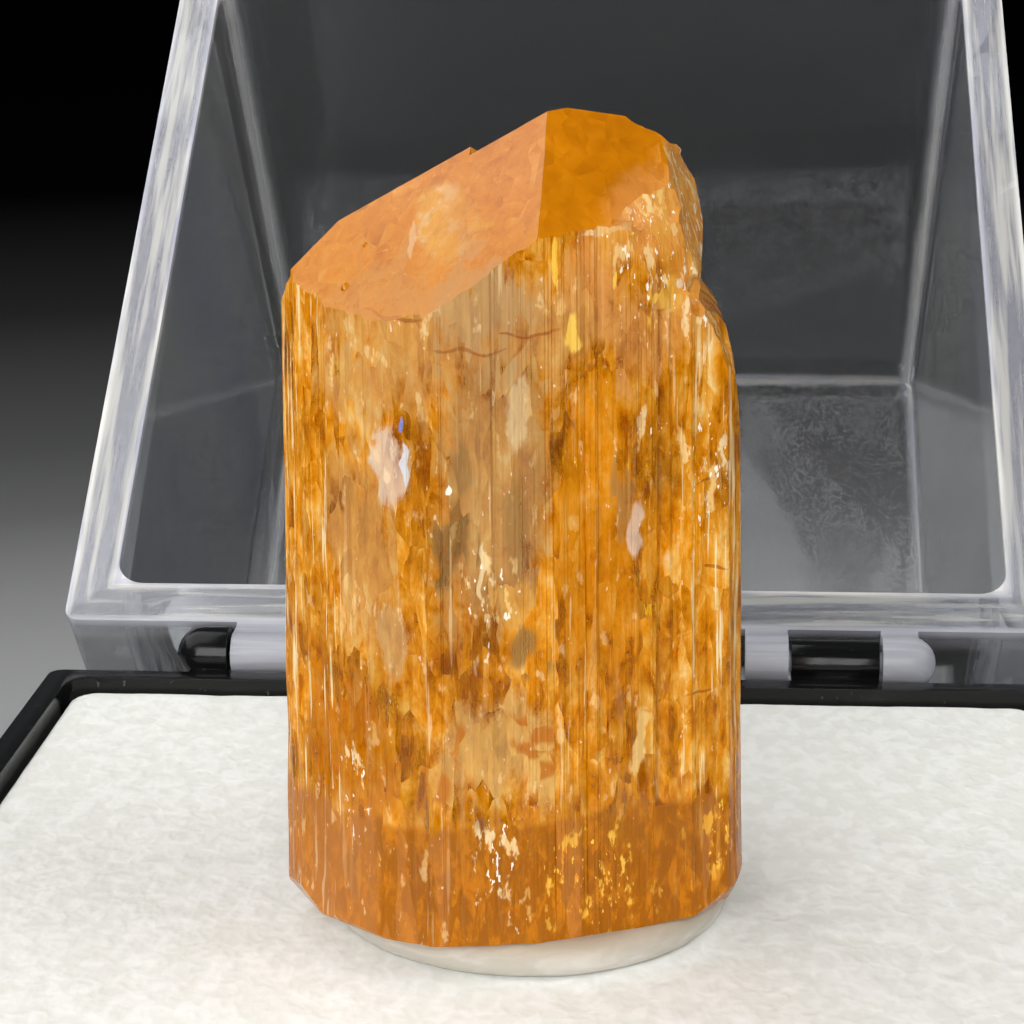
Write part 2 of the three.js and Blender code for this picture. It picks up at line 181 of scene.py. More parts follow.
# Soft lights: name, place, size and radiance
LIGHTS = [
    ("left_softbox", (-150, 30, 215), (290, 290), 1.65),
    ("front_softbox", (-40, -240, 120), (260, 170), 5.6),
    ("right_softbox", (200, -30, 190), (170, 170), 2.8),
    ("top_softbox", (5, 70, 240), (90, 90), 0.1),
]
LIGHT_AIM = (0, 0, 28)
ROOM_COLOUR = (0.86, 0.9, 0.96)
ROOM_STRENGTH = 0.07
LIGHT_PATHS = {
    "max_bounces": 9, "transmission_bounces": 9, "glossy_bounces": 4, "diffuse_bounces": 2,
    "sample_clamp_indirect": 6, "blur_glossy": 0.6, "use_denoising": True,
    "use_adaptive_sampling": True, "adaptive_threshold": 0.08, "adaptive_min_samples": 12,
}

FLOOR_REACH = 1500
FLOOR_LEVEL = -0.05
# Middle and radius of a pool of light painted on the floor, and how pale it is at shares of that radius
PAINTED_LIGHT_POOL_CENTRE = (0, 8, 0)
PAINTED_LIGHT_POOL_RADIUS = 260
PAINTED_LIGHT_FALLOFF = [
    (0.08, 0.66), (0.15, 0.54), (0.23, 0.42), (0.29, 0.32),
    (0.39, 0.14), (0.46, 0.09), (0.66, 0.026), (0.95, 0.002),
]

# Whole numbers that scramble places into random numbers
HASH_PRIMES = np.array([73856093, 19349663, 83492791])
SEED_PRIME = 2654435761
MIX_PRIME = 1274126177


# ---- numbers

def rib_hash(i, j):
    """The random numbers from 0 to 1 that shape the ribs of the solid too."""
    s = np.sin(i * 12.9898 + j * 78.233) * 43758.5453
    return s - np.floor(s)


def smooth(t):
    return t * t * (3 - 2 * t)


def lattice(points, seed=0):
    """Smooth random values from -1 to 1 at points, one swell per unit of length."""
    cell = np.floor(points).astype(np.int64)
    t = smooth(points - cell)
    total = np.zeros(len(points))
    for corner in range(8):
        step = np.array([corner & 1, corner >> 1 & 1, corner >> 2 & 1])
        mixed = np.bitwise_xor.reduce((cell + step) * HASH_PRIMES, axis=1) ^ (seed * SEED_PRIME)
        mixed = (mixed ^ (mixed >> 13)) * MIX_PRIME & 0xFFFFFFFF
        value = ((mixed ^ (mixed >> 16)) & 0xFFFF) / 32767.5 - 1
        total += value * np.prod(np.where(step, t, 1 - t), axis=1)
    return total


def swells(points, size, octaves=3, seed=0):
    """Lattice noise in several octaves. size is the length of the largest swell."""
    total = np.zeros(len(points))
    for octave in range(octaves):
        total += lattice(points * 2 ** octave / size, seed + 17 * octave) / 2 ** octave
    return total / 2


def normal_of(azimuth, tilt):
    """The direction with this azimuth and this tilt from upright, in degrees."""
    a, t = math.radians(azimuth), math.radians(tilt)
    return np.array([math.sin(t) * math.cos(a), math.sin(t) * math.sin(a), math.cos(t)])


# ---- meshes

def linked(name, data):
    made = bpy.data.objects.new(name, data)
    bpy.context.scene.collection.objects.link(made)
    return made


def mesh_object(name, points, faces):
    mesh = bpy.data.meshes.new(name)
    mesh.from_pydata((np.asarray(points) * MM).tolist(), [], faces)
    mesh.validate()
    return linked(name, mesh)


def tube_faces(rows, columns):
    """Faces of a tube of rings of points, closed at both ends."""
    ring = np.arange(rows * columns).reshape(rows, columns)
    ahead = np.roll(ring, -1, axis=1)
    walls = np.stack([ring[:-1], ahead[:-1], ahead[1:], ring[1:]], axis=-1).reshape(-1, 4)
    return [*walls.tolist(), ring[0, ::-1].tolist(), ring[-1].tolist()]


def square_grid(half_side, count):
    """Places in a square, in count rows."""
    line = np.linspace(-half_side, half_side, count)
    return np.stack(np.meshgrid(line, line, indexing="ij"), axis=-1).reshape(-1, 2)


def sheet_block(name, sheet, far_side, facing_back=False):
    """A closed block from a square sheet of points and a way to place the rim of its far side."""
    count = round(math.sqrt(len(sheet)))
    grid = np.arange(len(sheet)).reshape(count, count)
    rim = np.concatenate([grid[:-1, 0], grid[-1, :-1], grid[:0:-1, -1], grid[0, :0:-1]])
    far = len(sheet) + np.arange(len(rim))
    front = np.stack([grid[:-1, :-1], grid[:-1, 1:], grid[1:, 1:], grid[1:, :-1]], axis=-1)
    walls = np.stack([rim, np.roll(rim, -1), np.roll(far, -1), far], axis=1)
    faces = [*front.reshape(-1, 4).tolist(), *walls.tolist(), far.tolist()]
    if not facing_back:
        faces = [face[::-1] for face in faces]
    return mesh_object(name, np.concatenate([sheet, far_side(sheet[rim])]), faces)


def reshaped(made, change):
    """Makes a change to the faces of an object."""
    shape = bmesh.new()
    shape.from_mesh(made.data)
    change(shape)
    shape.to_mesh(made.data)
    shape.free()
    return made


def join_triangles(shape, within=0.002, degrees=0.6):
    """Joins loose triangles, and those that lie in one plane."""
    bmesh.ops.remove_doubles(shape, verts=shape.verts, dist=within * MM)
    flat = math.radians(degrees)
    bmesh.ops.dissolve_limit(shape, angle_limit=flat, verts=shape.verts, edges=shape.edges)


def settle(made):
    """Turns an object's modifiers into plain mesh."""
    bpy.context.view_layer.update()
    evaluated = made.evaluated_get(bpy.context.evaluated_depsgraph_get())
    plain = bpy.data.meshes.new_from_object(evaluated)
    made.modifiers.clear()
    old = made.data
    made.data = plain
    bpy.data.meshes.remove(old)
    plain.name = made.name


def cut(made, other, operation="DIFFERENCE"):
    """Takes one closed solid from another, or keeps what both share."""
    change = made.modifiers.new("shape", "BOOLEAN")
    change.operation = operation
    change.solver = "MANIFOLD"
    change.object = other
    settle(made)
    bpy.data.meshes.remove(other.data)


def crease(made, degrees):
    """Smooth shading, with sharp lines where the surface turns by more than this."""
    made.data.polygons.foreach_set("use_smooth", [True] * len(made.data.polygons))
    made.data.set_sharp_from_angle(angle=math.radians(degrees))


# ---- the crystal

def rib_line():
    """Rib corners round the prism and the outward normal at each."""
    along = np.roll(PRISM_OUTLINE, -1, axis=0) - PRISM_OUTLINE
    lengths = np.linalg.norm(along, axis=1)
    along /= lengths[:, None]
    starts = np.concatenate([[0], np.cumsum(lengths)[:-1]])
    i = np.arange(RIB_COUNT)
    s = ((i + RIB_UNEVEN * (rib_hash(i, 1) - 0.5)) / RIB_COUNT * lengths.sum()) % lengths.sum()
    k = np.searchsorted(starts, s, side="right") - 1
    at = PRISM_OUTLINE[k] + along[k] * (s - starts[k])[:, None]
    return at, np.stack([along[k, 1], -along[k, 0]], axis=1)


def striated_blank():
    """The prism before its top is cut: every rib is split in fine striae that start and stop."""
    rng = np.random.default_rng(11)
    at, outward = rib_line()
    i = np.arange(RIB_COUNT)
    columns = RIB_COUNT * STRIAE_PER_RIB
    heights = np.linspace(0, BLANK_HEIGHT, ROW_COUNT)
    heights[1:-1] += rng.uniform(-ROW_UNEVEN, ROW_UNEVEN, ROW_COUNT - 2)
    share = (np.arange(STRIAE_PER_RIB) / STRIAE_PER_RIB)[None, :, None]
    stria = rng.random(columns) ** 2.2
    wave = 0.5 + 0.5 * np.sin(np.arange(columns) * 0.031 + 1.2)
    lively = QUIET_STRIAE + (1 - QUIET_STRIAE) * wave
    depth = np.zeros((ROW_COUNT, columns))
    for c in range(columns):
        z = rng.uniform(-4, 0)
        while z < BLANK_HEIGHT:
            length = rng.uniform(*BROKEN_STRIA_LENGTHS)
            inside = (heights >= z) & (heights < z + length)
            depth[inside, c] = rng.random() ** 2
            z += length
    points = []
    for row, z in enumerate(heights):
        ring = np.interp(z, RING_HEIGHTS, np.arange(len(RING_HEIGHTS)))
        low = int(min(ring, len(RING_HEIGHTS) - 2))
        drift = rib_hash(i, 3 + low) * (low + 1 - ring) + rib_hash(i, 4 + low) * (ring - low)
        calm = CALM_SHARE + (1 - CALM_SHARE) * smooth(min(z / CALM_FOOT, 1.0))
        groove = calm * (RIB_DEPTH * rib_hash(i, 2) ** 1.5 + RIB_DRIFT * drift)
        level = at * [1 - CRYSTAL_TAPER * z, 1] - outward * groove[:, None]
        ahead = np.roll(level, -1, axis=0)
        fine = (level[:, None] * (1 - share) + ahead[:, None] * share).reshape(-1, 2)
        facing = np.repeat(outward, STRIAE_PER_RIB, axis=0)
        into = calm * lively * (STRIA_DEPTH * stria + BROKEN_STRIA_DEPTH * depth[row])
        fine = fine - facing * into[:, None]
        points.append(np.column_stack([fine, np.full(columns, z)]))
    points = np.concatenate(points) + CRYSTAL_FOOT
    return mesh_object("crystal_blank", points, tube_faces(ROW_COUNT, columns))


def relief(kind, flat, seed):
    """Height of a face's surface over its plane, in mm, at points given in the plane."""
    spots = np.column_stack([flat, np.full(len(flat), 3.7 + seed)])
    if kind == "growth":
        ripples = RIPPLE_HEIGHT * swells(spots * [1, 3.5, 1], 0.6, 2, seed + 5)
        return GROWTH_HEIGHT * swells(spots, 1.9, 3, seed) + ripples
    if kind == "fracture":
        terraces = swells(spots, 1.5, 3, seed) * TERRACES
        steps = np.floor(terraces) + smooth(np.clip((terraces % 1) * 2.4 - 0.7, 0, 1))
        return TERRACE_HEIGHT * steps + TERRACE_HEIGHT * swells(spots, 0.55, 3, seed + 9)
    return CHIP_HEIGHT * swells(spots, 0.5, 3, seed)


def face_cutter(normal, point, kind, seed, reach=9.0, thickness=9.0, pitch=0.14):
    """A closed block on the outer side of a plane, whose inner face carries the plane's relief."""
    side = np.cross([0, 0, 1], normal)
    side /= np.linalg.norm(side)
    up = np.cross(normal, side)
    flat = square_grid(reach, int(2 * reach / pitch) + 1)
    near = np.outer(flat[:, 0], side) + np.outer(flat[:, 1], up)
    near = near + np.outer(relief(kind, flat, seed), normal) + point + CRYSTAL_FOOT
    return sheet_block("cutter", near, lambda rim: rim + normal * thickness, facing_back=True)


def prism_cutter(outline, low, high, turn=0.0, axis=2):
    """A closed block with the given outline, drawn out along z or, for axis 1, along y."""
    outline = np.array(outline, float)
    points = np.concatenate([np.insert(outline, axis, end, axis=1) for end in (low, high)])
    c, s = math.cos(math.radians(turn)), math.sin(math.radians(turn))
    points = points @ np.array([[c, s, 0], [-s, c, 0], [0, 0, 1]])
    made = mesh_object("cutter", points + CRYSTAL_FOOT, tube_faces(2, len(outline)))
    return reshaped(made, lambda shape: bmesh.ops.recalc_face_normals(shape, faces=shape.faces))


def rough_pebble(at, size, seed):
    """A small knobbly solid that bites a chip out of an edge."""
    shape = bmesh.new()
    bmesh.ops.create_icosphere(shape, subdivisions=2, radius=1)
    shape.verts.index_update()
    points = np.array([v.co for v in shape.verts])
    faces = [[v.index for v in face.verts] for face in shape.faces]
    shape.free()
    scale = size * (1 + CHIP_KNOBBLE * swells(points * 1.3, 1.0, 2, seed))
    return mesh_object("cutter", points * scale[:, None] * CHIP_STRETCH + at + CRYSTAL_FOOT, faces)


def surface_at(direction):
    """How far out the prism's surface lies on a level ray from its centre."""
    for p, q in zip(PRISM_OUTLINE, np.roll(PRISM_OUTLINE, -1, axis=0)):
        edge = q - p
        across = direction[0] * edge[1] - direction[1] * edge[0]
        along = (p[0] * edge[1] - p[1] * edge[0]) / across
        share = (p[0] * direction[1] - p[1] * direction[0]) / across
        if along > 0 and 0 <= share < 1:
            return along


def make_crystal():
    crystal = striated_blank()
    for seed, (*turned, point, kind, beyond) in enumerate(TERMINATION_FACES):
        cutter = face_cutter(normal_of(*turned), point, kind, seed)
        if beyond:
            *turned, point = beyond
            limit = face_cutter(normal_of(*turned), point, "growth", seed + 40, pitch=0.5)
            cut(cutter, limit, "INTERSECT")
        cut(crystal, cutter)
    for azimuth, depth, half_width, low, high in GROOVES:
        surface = surface_at(normal_of(azimuth, 90))
        wide = half_width / depth * (depth + 1)
        outline = [(surface - depth, 0), (surface + 1, -wide), (surface + 1, wide)]
        cut(crystal, prism_cutter(outline, low, high, azimuth))
    for seed, (azimuth, inward, up) in enumerate(BASE_CHIPS):
        level = normal_of(azimuth, 90)
        far = max(PRISM_OUTLINE @ level[:2])
        normal = np.array([*level[:2] * up, -inward])
        normal /= np.linalg.norm(normal)
        foot = level * (far - inward)
        cut(crystal, face_cutter(normal, foot, "chip", seed + 20, reach=4, thickness=3))
    cut(crystal, prism_cutter(NOTCH_PROFILE, -16, 16, NOTCH_TURN, axis=1))
    for seed, (at, size) in enumerate(EDGE_CHIPS):
        cut(crystal, rough_pebble(at, size, seed))
    crystal.name = crystal.data.name = "striated_topaz"
    crease(crystal, degrees=16)
    return crystal


# ---- materials

def arithmetic(operation, reflected=False):
    """A method that adds a Math node, with its own number first or, reflected, last."""
    def method(self, *others):
        values = (*others, self) if reflected else (self, *others)
        made = self.finish.node("ShaderNodeMath", {"operation": operation}, dict(enumerate(values)))
        return Number(self.finish, made)
    return method


class Number:
    """A number's socket in a material's nodes, with the operators of plain arithmetic."""

    __add__, __radd__ = arithmetic("ADD"), arithmetic("ADD", reflected=True)
    __sub__, __rsub__ = arithmetic("SUBTRACT"), arithmetic("SUBTRACT", reflected=True)
    __mul__, __rmul__ = arithmetic("MULTIPLY"), arithmetic("MULTIPLY", reflected=True)
    __truediv__, __pow__ = arithmetic("DIVIDE"), arithmetic("POWER")
    abs, max, min = arithmetic("ABSOLUTE"), arithmetic("MAXIMUM"), arithmetic("MINIMUM")

    def __init__(self, finish, socket):
        self.finish, self.socket = finish, socket

    def between(self, low, high):
        """0 at low, 1 at high, smooth between them."""
        limits = {"Value": self, "From Min": low, "From Max": high}
        made = self.finish.node("ShaderNodeMapRange", {"interpolation_type": "SMOOTHSTEP"}, limits)
        return Number(self.finish, made)


def set_stops(ramp, stops):
    """Gives a colour ramp its positions and colours."""
    while len(ramp.elements) < len(stops):
        ramp.elements.new(0.5)
    for element, (position, colour) in zip(ramp.elements, stops):
        element.position, element.color = position, (*colour, 1)


def add_node(tree, kind, settings=None, sockets=None, out=0):
    """Adds a node: its settings first, then the values or links of its sockets. Returns an output."""
    made = tree.nodes.new(kind)
    for key, value in (settings or {}).items():
        if key == "stops":
            set_stops(made.color_ramp, value)
        else:
            setattr(made, key, value)
    for key, value in (sockets or {}).items():
        target = made.inputs[key]
        if isinstance(value, Number):
            value = value.socket
        if isinstance(value, bpy.types.NodeSocket):
            tree.links.new(value, target)
        elif target.type == "RGBA":
            target.default_value = (*value, 1)
        else:
            target.default_value = value
    return made.outputs[out]


class Finish:
    """A procedural material."""

    def __init__(self, name):
        self.material = bpy.data.materials.new(name)
        self.material.use_nodes = True
        self.tree = self.material.node_tree
        self.tree.nodes.clear()
        self.output = self.tree.nodes.new("ShaderNodeOutputMaterial")
        self.node = partial(add_node, self.tree)

    def principled(self, colour, roughness, **more):
        """The usual shader. Its other sockets go by their own names, with _ for a space."""
        sockets = {"Base Color": colour, "Roughness": roughness}
        sockets.update((name.replace("_", " "), value) for name, value in more.items())
        return self.node("ShaderNodeBsdfPrincipled", None, sockets)

    def vector(self, operation, *values, out=0):
        """Vector Math on vectors or colours."""
        return self.node("ShaderNodeVectorMath", {"operation": operation}, dict(enumerate(values)), out)

    def place(self, centre=(0, 0, 0), scale=(1, 1, 1), turn=(0, 0, 0)):
        """Object coordinates in mm from a centre, then scaled and turned."""
        shift = -(Euler(turn).to_matrix() @ Vector([c * s for c, s in zip(centre, scale)]))
        return self.node("ShaderNodeMapping", None, {
            "Vector": self.node("ShaderNodeTexCoord", out="Object"), "Location": shift,
            "Rotation": turn, "Scale": [s / MM for s in scale],
        })

    def parts(self, kind, whole):
        """The three numbers in a vector or a colour."""
        return [Number(self, part) for part in self.node(kind, None, {0: whole}).node.outputs]

    def axes(self, vector):
        return self.parts("ShaderNodeSeparateXYZ", vector)

    def noise(self, vector, size, detail, roughness, distortion=0.0, out="Fac"):
        made = self.node("ShaderNodeTexNoise", None, {
            "Vector": vector, "Scale": size, "Detail": detail, "Roughness": roughness,
            "Distortion": distortion,
        }, out)
        return Number(self, made) if out == "Fac" else made

    def grain(self, scale, detail, roughness, distortion=0.0, turn=(0, 0, 0)):
        """Noise fixed to the piece, with so many swells to a mm along each axis."""
        return self.noise(self.place(scale=scale, turn=turn), 1.0, detail, roughness, distortion)

    def cells(self, vector):
        """Three random numbers for each cell of a broken-up pattern."""
        pattern = {"Vector": vector, "Scale": 1.0}
        colour = self.node("ShaderNodeTexVoronoi", {"feature": "F1"}, pattern, "Color")
        return self.parts("ShaderNodeSeparateColor", colour)

    def mix(self, factor, one, other):
        """A colour between two others."""
        return self.node("ShaderNodeMix", {"data_type": "RGBA"}, {0: factor, 6: one, 7: other}, out=2)

    def ellipse(self, place, x, z, half_width, half_height):
        """Distance from an upright ellipse's centre: 1 on its line."""
        wide, high = 1 / half_width, 1 / half_height
        scaled = self.vector("MULTIPLY_ADD", place, (wide, 0, high), (-x * wide, 0, -z * high))
        return Number(self, self.vector("LENGTH", scaled, out="Value"))

    def shift(self, vector, push, amount):
        """Moves a vector by a colour noise."""
        return self.vector("ADD", vector, self.vector("MULTIPLY", push, (amount, amount, amount)))

    def bump(self, height, distance, strength):
        sockets = {"Height": height, "Distance": distance * MM, "Strength": strength}
        return self.node("ShaderNodeBump", None, sockets)

    def absorption(self, colour, density):
        return self.node("ShaderNodeVolumeAbsorption", None, {"Color": colour, "Density": density})

    def surface(self, shader, volume=None):
        """Ends the material with its surface and what fills it, and returns it."""
        self.tree.links.new(shader, self.output.inputs["Surface"])
        if volume is not None:
            self.tree.links.new(volume, self.output.inputs["Volume"])
        return self.material


def tone(red, green, blue):
    """A colour given as it looks on a screen, 0 to 255, in linear light."""
    shares = (c / 255 for c in (red, green, blue))
    return tuple(v / 12.92 if v <= 0.04045 else ((v + 0.055) / 1.055) ** 2.4 for v in shares)


TOPAZ_IOR = 1.62
TOPAZ_ABSORPTION = (0.987, 0.93, 0.15), 800.0
PLASTIC_IOR = 1.59
PLASTIC_ABSORPTION = (0.86, 0.9, 0.94), 30.0

DEEP = tone(190, 98, 0)
ORANGE = tone(228, 138, 10)
AMBER = tone(236, 156, 42)
GOLD = tone(240, 178, 84)
YELLOW = tone(255, 208, 84)
PEACH = tone(234, 156, 80)
STRAW = tone(240, 198, 124)
PALE = tone(250, 228, 178)
BUFF = tone(216, 168, 106)
CLAY = tone(204, 130, 62)
ROSE = tone(208, 138, 94)
SILVER = tone(238, 222, 204)
FOOT = tone(172, 98, 0)
UMBER = tone(202, 164, 114)
TAN = tone(184, 138, 82)
SMOKE = tone(122, 88, 46)
RUST = tone(150, 66, 14)
ICE = tone(222, 228, 236)
SKY = tone(110, 150, 236)
# Painted highlight: the near-white of small bright spots
PAINTED_GLINT = tone(255, 248, 228)

# Cloudy and clear parts in the crystal: centre x and height from the foot, half width, half height,
# tone, cloudiness and strength. These break up along the columns and shards
SHARDS = [
    (-0.2, 14.7, 4.6, 1.5, BUFF, 0.8, 0.5),
    (-2.9, 13.3, 1.5, 0.9, BUFF, 0.75, 0.5),
    (-0.3, 15.1, 1.3, 1.1, UMBER, 0.75, 0.65),
    (2.0, 15.8, 1.0, 1.0, PEACH, 0.75, 0.6),
    (3.0, 14.5, 1.1, 1.1, PEACH, 0.75, 0.5),
    (3.75, 15.3, 0.35, 0.45, YELLOW, 0.9, 0.5),
    (-0.2, 10.9, 1.3, 3.6, UMBER, 0.6, 0.55),
    (-0.7, 11.7, 0.35, 0.7, TAN, 0.5, 0.6),
    (0.15, 10.0, 0.35, 1.2, TAN, 0.5, 0.5),
    (0.2, 12.5, 0.25, 0.9, PALE, 0.8, 0.5),
    (-1.0, 10.0, 0.35, 0.9, SMOKE, 0.25, 0.5),
    (0.2, 8.2, 0.5, 0.8, GOLD, 0.8, 0.6),
    (2.3, 9.9, 1.2, 3.6, ORANGE, 0.75, 0.5),
    (3.0, 10.9, 0.3, 0.9, TAN, 0.6, 0.6),
    (-3.2, 9.6, 0.9, 2.6, BUFF, 0.75, 0.5),
    (-3.7, 4.8, 1.3, 1.6, DEEP, 0.7, 0.55),
    (-0.1, 4.8, 1.8, 1.3, STRAW, 0.7, 0.55),
    (0.42, 6.9, 0.5, 0.5, TAN, 0.4, 0.7),
    (0.76, 5.1, 0.8, 0.26, DEEP, 0.85, 0.75),
    (-1.1, 4.5, 0.3, 0.5, DEEP, 0.85, 0.75),
]
# The same for features whose outline stays whole
FILMS = [
    (-2.05, 16.6, 0.08, 0.5, PALE, 0.9, 0.7),
    (0.6, 14.75, 0.7, 0.05, RUST, 0.8, 0.6),
    (-0.7, 14.35, 0.8, 0.05, RUST, 0.8, 0.5),
    (-2.3, 15.1, 0.7, 0.05, RUST, 0.7, 0.5),
    (2.3, 16.9, 0.7, 0.12, PALE, 0.9, 0.65),
    (1.21, 16.3, 0.1, 0.7, YELLOW, 0.9, 0.8),
    (1.64, 14.6, 0.15, 0.5, YELLOW, 0.9, 0.85),
    (2.45, 15.8, 0.06, 0.25, YELLOW, 0.9, 0.8),
    # Next: a painted highlight in the golden patch
    (3.95, 15.55, 0.09, 0.16, PAINTED_GLINT, 0.95, 0.8),
    (3.6, 15.2, 0.08, 0.2, YELLOW, 0.9, 0.7),
    (-2.5, 11.6, 0.45, 1.0, SILVER, 0.8, 0.6),
    (-2.1, 11.7, 0.07, 0.55, ICE, 0.95, 0.8),
    (-2.12, 12.5, 0.07, 0.16, SKY, 0.9, 0.8),
    (-2.5, 7.5, 0.36, 0.95, UMBER, 0.8, 0.6),
    (3.05, 9.8, 0.15, 0.75, SILVER, 0.8, 0.6),
    (3.15, 4.6, 0.16, 0.9, STRAW, 0.85, 0.85),
    (-0.45, 9.2, 0.07, 0.7, PALE, 0.9, 0.7),
    # Next: a painted highlight, a small bright spot
    (-1.19, 11.2, 0.08, 0.12, PAINTED_GLINT, 0.95, 1.0),
    (4.75, 10.75, 0.3, 0.04, RUST, 0.8, 0.6),
    (4.8, 8.7, 0.3, 0.05, RUST, 0.8, 0.6),
    (4.6, 5.6, 0.35, 0.04, RUST, 0.8, 0.6),
]
# Centre x and height, half width and half height of the cracked oval on the left top face, the pale
# corner of the right one, and places full of pale flecks and painted highlights
CRACKED_OVAL = (-1.3, 17.0, 0.8, 0.75)
PALE_CORNER = (3.3, 17.2, 0.35, 0.3)
FLECK_AND_GLINT_PLACES = [
    (-0.2, 2.3, 0.6, 1.2), (4.6, 11.2, 0.6, 1.8), (3.5, 16.2, 0.9, 1.6), (-3.6, 3.6, 0.4, 1.5),
    (-0.2, 8.4, 0.8, 1.3), (3.3, 12.2, 0.3, 0.6), (2.0, 1.5, 1.2, 1.2), (5.0, 1.9, 0.5, 0.9),
]
# Where the crystal's regions begin or end: x, height, or both
SIDE_STRIP = 3.5
SHOULDER = (1.6, 15.9)
NOTCH = (3.6, 14.4)
TOP_END = 4.1
TOP_LOW = 15.6
OVAL_BRIGHT = -1.1
FOOT_TOP = 3.0
FOOT_GOLD = 0.3
# Left of this x the foot is paled by a painted reflection, where its face mirrors a light
FOOT_REFLECTING_FACE = -2.9


class TopazPattern:
    """What shows in the crystal: a colour and a share of cloudiness at each point of its surface."""

    def __init__(self, f):
        self.f = f
        self.here = f.place(CRYSTAL_FOOT)
        self.x, self.y, self.z = f.axes(self.here)
        self.push = f.noise(self.here, 1.1, 1, 0.6, out="Color")
        self.columns = f.cells(f.shift(f.place(CRYSTAL_FOOT, (1.6, 1.6, 0.1)), self.push, 0.25))
        self.shards = f.cells(f.shift(f.place(CRYSTAL_FOOT, (1.9, 1.9, 0.7)), self.push, 0.5))
        self.sugar = f.grain((7, 7, 2.8), 2, 0.7)
        self.threads = f.grain((6, 6, 0.25), 2, 0.6)
        self.flecks = f.grain((3.2, 3.2, 1.3), 3, 0.62)
        self.seen = self.jumped()
        squeezed = f.vector("MULTIPLY", self.seen, (1.0, 1.0, 0.5))
        self.depths = f.noise(squeezed, 2.2, 4, 0.66, 0.3)
        self.mist = f.noise(squeezed, 0.8, 2, 0.6)
        self.ragged = (self.depths - 0.5) * 1.3
        self.mark_zones()
        self.lay_ground()
        self.add_features(self.seen, 0.5, SHARDS)
        centred = f.vector("SUBTRACT", self.push, (0.5, 0.5, 0.5))
        self.add_features(f.shift(self.here, centred, 0.6), 0.35, FILMS)
        self.add_foot()
        self.add_threads()
        self.add_top_faces()
        self.add_flecks()

    def tint(self, share, shade):
        self.colour = self.f.mix(share, self.colour, shade)

    def cloud_over(self, share, thick):
        self.cloud = self.cloud + (thick - self.cloud) * share

    def within(self, place, ellipse):
        """Over 0 inside an upright ellipse, falling by 1 for each of its half widths."""
        return 1.1 - self.f.ellipse(place, *ellipse)

    def jumped(self):
        """Each column and shard shows another place, so what is seen breaks off at its edge."""
        column, shard = self.columns, self.shards
        jump = self.f.node("ShaderNodeCombineXYZ", None, {
            0: (column[0] - 0.5) * 0.5 + (shard[0] - 0.5) * 0.35,
            1: column[2] + shard[2] * 0.7,
            2: (column[1] - 0.5) * 0.9 + (shard[1] - 0.5) * 0.7,
        })
        return self.f.vector("ADD", self.here, jump)

    def mark_zones(self):
        """Shares from 0 to 1 for the crystal's faces and regions."""
        x, z, (rise, across, drop) = self.x, self.z, self.shards
        nx, ny, nz = self.f.axes(self.f.node("ShaderNodeTexCoord", out="Normal"))
        self.up = (nz - 0.45).between(0, 0.12)
        self.side = 1 - self.up
        self.front = (ny * -3).between(0, 1)
        self.left_top = self.up * (0.05 - nx).between(0, 0.06)
        facing = (nx - 0.05).between(0, 0.06) * (-0.2 - ny).between(0, 0.1)
        self.right_top = self.up * facing * (TOP_END - x).between(0, 0.5)
        notched = (x - NOTCH[0] + across * 0.5).between(0, 0.8) * (z - NOTCH[1] + rise).between(0, 1.2)
        shoulder = (z - SHOULDER[1]).between(0, 0.5) * (x - SHOULDER[0]).between(0, 0.8) * self.side
        self.broken = notched.max(shoulder)
        self.edge = (x.abs() - SIDE_STRIP).between(0, 0.8) * self.side
        self.foot = (FOOT_TOP - z + (drop - 0.5) * 0.3 + self.ragged * 0.4).between(-0.13, 0.13)
        self.golden = self.foot * (x - FOOT_GOLD).between(0, 0.5)

    def lay_ground(self):
        """The uneven orange of the whole crystal, paler where more light comes back."""
        haze = self.mist - 0.5
        grain = (self.depths - 0.5) * 1.9 + (self.threads - 0.5) * (0.12 + self.edge * 0.6)
        # The side strips are made a little paler: partly painted light, for light coming through the thin
        # edges
        blend = grain * (0.6 + self.side * 0.4) + haze * 0.9 + self.edge * 0.06 + 0.38
        self.colour = self.f.node("ShaderNodeValToRGB", {"stops": [
            (0.02, DEEP), (0.3, ORANGE), (0.5, AMBER), (0.7, GOLD), (0.86, STRAW), (0.98, PALE),
        ]}, {0: blend})
        self.cloud = 0.64 + haze * 1.5 + (self.depths - 0.5) * 0.6 + self.edge * 0.08

    def add_features(self, place, softness, features):
        for *ellipse, shade, thick, strength in features:
            inside = (self.within(place, ellipse) + self.ragged).between(0, softness)
            share = inside * (self.front * strength)
            self.tint(share, shade)
            self.cloud_over(share, thick)

    def add_foot(self):
        """The deep orange foot, with paler upright stripes and a left end paled by a painted reflection
        of a light.
        """
        f = self.f
        ground = f.mix((self.depths - 0.45).between(0, 0.2) * 0.6, FOOT, ORANGE)
        # Painted reflection: the foot's left end is paled with clay, for a light that its face mirrors
        painted_reflection_end = (FOOT_REFLECTING_FACE - self.x).between(0, 0.3)
        bars_and_painted_reflection = (self.columns[2] - 0.75).between(0, 0.03) * 0.4 + painted_reflection_end * 0.5
        self.tint(self.foot, f.mix(bars_and_painted_reflection.min(0.65), ground, CLAY))

    def add_threads(self):
        """Pale upright lines, most of them along both sides: partly pale needles, partly painted
        highlights on the striae.
        """
        wanted = 0.1 + self.edge * 0.5 + (self.columns[2] - 0.6).between(0, 0.1) * 0.3
        lines = (self.threads - 0.6).between(0, 0.05) * wanted * (1 - self.foot * 0.6) * self.side
        # Painted highlights in part: pale lines on the striae, thickest along both sides
        self.tint(lines, self.f.mix(self.golden, PALE, GOLD))
        self.cloud = self.cloud + lines * 0.3

